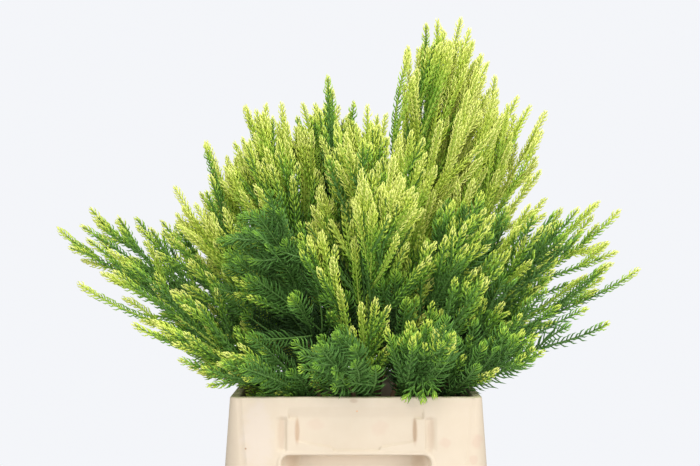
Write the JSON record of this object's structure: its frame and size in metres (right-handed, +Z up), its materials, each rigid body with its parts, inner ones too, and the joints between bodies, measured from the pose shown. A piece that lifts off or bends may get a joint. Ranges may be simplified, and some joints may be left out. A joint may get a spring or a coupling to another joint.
{
  "type": "cut cryptomeria branches in a flower tub",
  "caption": "Bunch of cut conifer branches with golden tips, standing in a cream moulded plastic flower tub with a hand pocket in each narrow side.",
  "frame": {"origin": "middle of the tub's flat underside, on the surface that it stands on", "axes": "+Z up; the tub's narrow faces, each with a hand pocket, look along -Y and +Y; -Y is the side the picture shows"},
  "size_m": [0.649, 0.5199, 0.704],
  "materials": {
    "tub_plastic": "satin moulded plastic, stained and scuffed",
    "bark": "rough red-brown bark, green at the young ends",
    "needles_deep": "satin needles",
    "needles_fresh": "satin needles",
    "needles_golden": "satin needles"
  },
  "bodies": {
    "root": {"foliage_inner_01": "needles_golden", "foliage_inner_02": "needles_golden", "foliage_inner_03": "needles_deep", "foliage_inner_04": "needles_golden", "foliage_inner_05": "needles_golden", "foliage_middle_01": "needles_fresh", "foliage_middle_02": "needles_golden", "foliage_middle_03": "needles_golden", "foliage_middle_04": "needles_fresh", "foliage_middle_05": "needles_golden", "foliage_middle_06": "needles_golden", "foliage_middle_07": "needles_fresh", "foliage_middle_08": "needles_golden", "foliage_middle_09": "needles_fresh", "foliage_outer_01": "needles_deep", "foliage_outer_02": "needles_fresh", "foliage_outer_03": "needles_deep", "foliage_outer_04": "needles_fresh", "foliage_outer_05": "needles_deep", "foliage_outer_06": "needles_fresh", "foliage_outer_07": "needles_fresh", "foliage_outer_08": "needles_fresh", "foliage_outer_09": "needles_fresh", "foliage_outer_10": "needles_fresh", "foliage_outer_11": "needles_deep", "foliage_outer_12": "needles_deep", "foliage_outer_13": "needles_deep", "foliage_outer_14": "needles_deep", "foliage_outer_15": "needles_deep", "stem_inner_01": "bark", "stem_inner_02": "bark", "stem_inner_03": "bark", "stem_inner_04": "bark", "stem_inner_05": "bark", "stem_middle_01": "bark", "stem_middle_02": "bark", "stem_middle_03": "bark", "stem_middle_04": "bark", "stem_middle_05": "bark", "stem_middle_06": "bark", "stem_middle_07": "bark", "stem_middle_08": "bark", "stem_middle_09": "bark", "stem_outer_01": "bark", "stem_outer_02": "bark", "stem_outer_03": "bark", "stem_outer_04": "bark", "stem_outer_05": "bark", "stem_outer_06": "bark", "stem_outer_07": "bark", "stem_outer_08": "bark", "stem_outer_09": "bark", "stem_outer_10": "bark", "stem_outer_11": "bark", "stem_outer_12": "bark", "stem_outer_13": "bark", "stem_outer_14": "bark", "stem_outer_15": "bark", "tub": "tub_plastic"}
  },
  "joints": []
}
